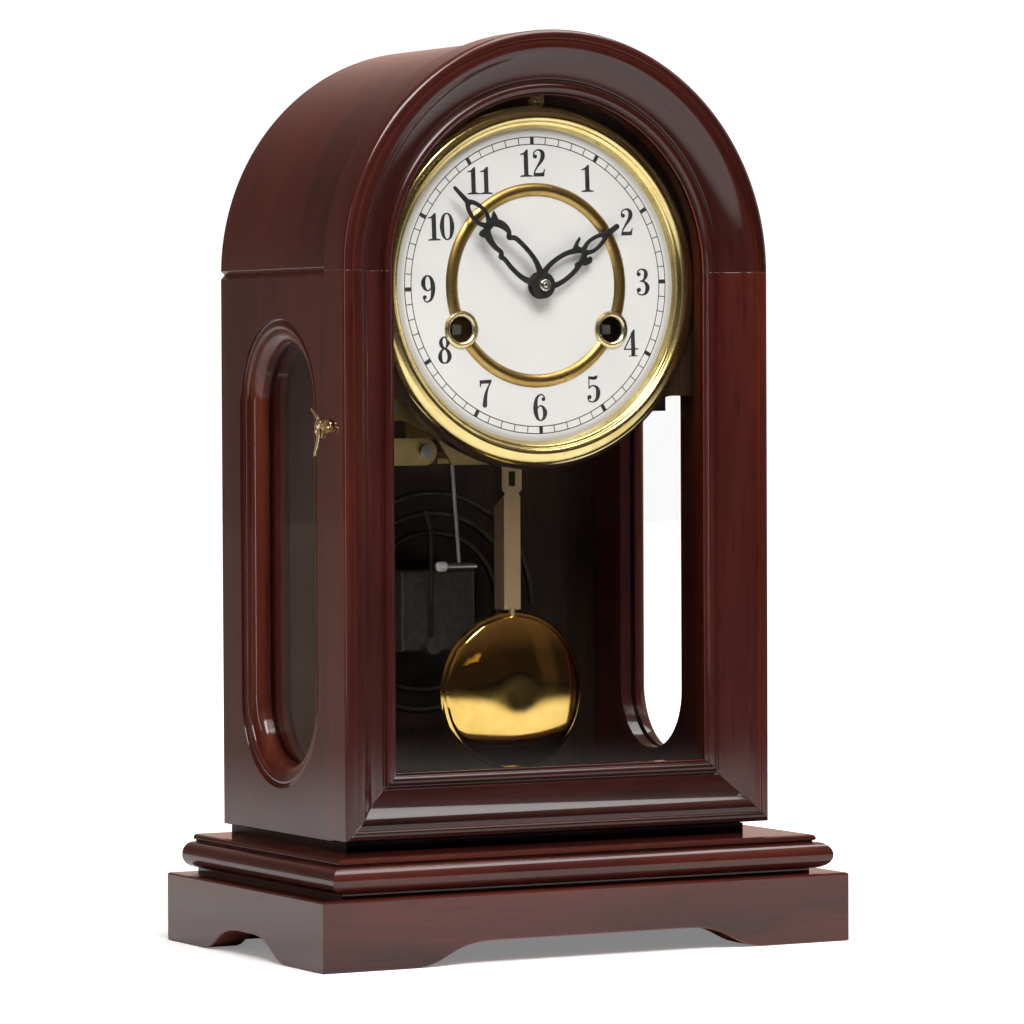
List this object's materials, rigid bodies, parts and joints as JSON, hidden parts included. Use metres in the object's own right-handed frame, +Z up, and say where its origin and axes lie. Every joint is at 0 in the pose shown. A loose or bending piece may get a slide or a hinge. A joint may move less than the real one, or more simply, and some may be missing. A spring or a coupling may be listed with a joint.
{
  "type": "mantel clock",
  "caption": "Arch-topped wooden mantel clock with a glazed hinged door, white dial, pierced hands, swinging pendulum and a spring-driven striking movement inside.",
  "frame": {"origin": "on the floor under the middle of the base", "axes": "+X to the right seen from the front, +Y to the back, +Z up; the door and dial face -Y"},
  "size_m": [0.278, 0.168, 0.43],
  "materials": {
    "dark_wood": "dark mahogany stain under high gloss lacquer",
    "inner_wood": "dark stained plywood, satin",
    "polished_brass": "polished and lacquered brass",
    "rod_brass": "pressed brass strip, satin",
    "plate_brass": "rolled brass sheet, satin",
    "steel": "plain steel, dull",
    "cast_iron": "black painted casting",
    "black_paint": "black paint, semi-gloss",
    "dial_enamel": "white enamelled metal with black print",
    "nylon": "white nylon",
    "clear_glass": "clear float glass"
  },
  "bodies": {
    "case": {"base_long_rails": "dark_wood", "base_side_rails": "dark_wood", "plinth_moulding": "dark_wood", "case_floor": "dark_wood", "case_left_side": "dark_wood", "case_right_side": "dark_wood", "case_roof": "dark_wood", "case_back_panel": "inner_wood", "case_screws": "steel", "side_glasses": "clear_glass", "side_glass_beads": "dark_wood", "hinge_case_leaves": "polished_brass", "latch_rosette": "polished_brass", "dial_board": "inner_wood", "dial_plate": "dial_enamel", "dial_ring": "polished_brass", "bezel": "polished_brass", "winding_collets": "polished_brass", "bezel_clip": "polished_brass", "front_plate": "plate_brass", "back_plate": "plate_brass", "plate_pillars": "plate_brass", "movement_seats": "inner_wood", "movement_strap": "plate_brass", "suspension_bracket": "plate_brass", "mainsprings": "steel", "gong_block": "cast_iron", "gong_coil": "steel"},
    "door": {"door_left_stile": "dark_wood", "door_right_stile": "dark_wood", "door_arch": "dark_wood", "door_bottom_rail": "dark_wood", "door_glass": "clear_glass", "door_glass_bead": "dark_wood", "hinge_door_leaves": "polished_brass", "latch_stud": "polished_brass"},
    "latch": {"latch_hook": "polished_brass"},
    "pendulum": {"pendulum_hanger": "steel", "pendulum_rod": "rod_brass", "pendulum_bob": "polished_brass", "rating_nut": "polished_brass"},
    "pallets": {"verge": "steel"},
    "minute_group": {"minute_hand": "black_paint", "cannon_pinion": "plate_brass", "hand_nut": "polished_brass"},
    "hour_group": {"hour_hand": "black_paint", "hour_wheel": "plate_brass"},
    "minute_wheel_group": {"minute_wheel": "plate_brass"},
    "time_great": {"time_great_wheel": "plate_brass"},
    "time_winder": {"time_winding_arbor": "steel"},
    "second_group": {"second_wheel": "plate_brass"},
    "centre_group": {"centre_wheel": "plate_brass"},
    "third_group": {"third_wheel": "plate_brass"},
    "escape_group": {"escape_wheel": "plate_brass"},
    "strike_great": {"strike_great_wheel": "plate_brass"},
    "strike_winder": {"strike_winding_arbor": "steel"},
    "pin_group": {"pin_wheel": "plate_brass"},
    "fly_group": {"fly": "steel"},
    "hammer": {"hammer_arm": "steel", "hammer_tip": "nylon"}
  },
  "joints": [
    {"name": "door_hinge", "type": "hinge", "parent": "case", "child": "door", "pos_m": [0.1122, -0.032, 0.192], "axis": [0, 0, 1], "range_deg": [0, 160]},
    {"name": "latch_pivot", "type": "hinge", "parent": "case", "child": "latch", "pos_m": [-0.1137, -0.0312, 0.247], "axis": [-1, 0, 0], "range_deg": [0, 75]},
    {"name": "pendulum_swing", "type": "hinge", "parent": "case", "child": "pendulum", "pos_m": [0, -0.0046, 0.3], "axis": [0, 1, 0], "range_deg": [-4, 4]},
    {"name": "pallet_rock", "type": "hinge", "parent": "case", "child": "pallets", "pos_m": [0, 0, 0.3], "axis": [0, 1, 0], "range_deg": [-4, 4]},
    {"name": "minute_turn", "type": "hinge", "parent": "case", "child": "minute_group", "pos_m": [0, -0.03, 0.3113], "axis": [0, 1, 0], "continuous": true},
    {"name": "hour_turn", "type": "hinge", "parent": "case", "child": "hour_group", "pos_m": [0, -0.025, 0.3113], "axis": [0, 1, 0], "continuous": true},
    {"name": "minute_wheel_turn", "type": "hinge", "parent": "case", "child": "minute_wheel_group", "pos_m": [0.006, -0.013, 0.32169], "axis": [0, 1, 0], "continuous": true},
    {"name": "third_wheel_turn", "type": "hinge", "parent": "case", "child": "third_group", "pos_m": [-0.01436, 0.014, 0.29463], "axis": [0, 1, 0], "continuous": true},
    {"name": "centre_wheel_turn", "type": "hinge", "parent": "case", "child": "centre_group", "pos_m": [0, 0.014, 0.3113], "axis": [0, 1, 0], "continuous": true},
    {"name": "second_wheel_turn", "type": "hinge", "parent": "case", "child": "second_group", "pos_m": [0.02199, 0.014, 0.3097], "axis": [0, 1, 0], "continuous": true},
    {"name": "time_great_turn", "type": "hinge", "parent": "case", "child": "time_great", "pos_m": [0.04, 0.014, 0.2906], "axis": [0, 1, 0], "continuous": true},
    {"name": "escape_wheel_turn", "type": "hinge", "parent": "case", "child": "escape_group", "pos_m": [0, 0.008, 0.281], "axis": [0, 1, 0], "continuous": true},
    {"name": "time_winding", "type": "hinge", "parent": "case", "child": "time_winder", "pos_m": [0.04, 0.01, 0.2906], "axis": [0, 1, 0], "range_deg": [0, 1980]},
    {"name": "pin_wheel_turn", "type": "hinge", "parent": "case", "child": "pin_group", "pos_m": [-0.04591, 0.014, 0.31618], "axis": [0, 1, 0], "continuous": true},
    {"name": "strike_great_turn", "type": "hinge", "parent": "case", "child": "strike_great", "pos_m": [-0.04, 0.014, 0.2906], "axis": [0, 1, 0], "continuous": true},
    {"name": "fly_turn", "type": "hinge", "parent": "case", "child": "fly_group", "pos_m": [-0.0366, 0.02, 0.33228], "axis": [0, 1, 0], "continuous": true},
    {"name": "strike_winding", "type": "hinge", "parent": "case", "child": "strike_winder", "pos_m": [-0.04, 0.01, 0.2906], "axis": [0, 1, 0], "range_deg": [0, 1980]},
    {"name": "hammer_swing", "type": "hinge", "parent": "case", "child": "hammer", "pos_m": [-0.006, 0.046, 0.247], "axis": [0, -1, 0], "range_deg": [0, 16]}
  ],
  "couplings": [
    {"joint": "pallet_rock", "follows": "pendulum_swing", "ratio": 1},
    {"joint": "hour_turn", "follows": "minute_turn", "ratio": 0.083333},
    {"joint": "minute_wheel_turn", "follows": "minute_turn", "ratio": -0.33333},
    {"joint": "centre_wheel_turn", "follows": "third_wheel_turn", "ratio": -0.1},
    {"joint": "escape_wheel_turn", "follows": "third_wheel_turn", "ratio": -10},
    {"joint": "second_wheel_turn", "follows": "third_wheel_turn", "ratio": 0.016667},
    {"joint": "time_great_turn", "follows": "third_wheel_turn", "ratio": -0.0027778},
    {"joint": "strike_great_turn", "follows": "pin_wheel_turn", "ratio": -0.16667},
    {"joint": "fly_turn", "follows": "pin_wheel_turn", "ratio": -6.75}
  ]
}
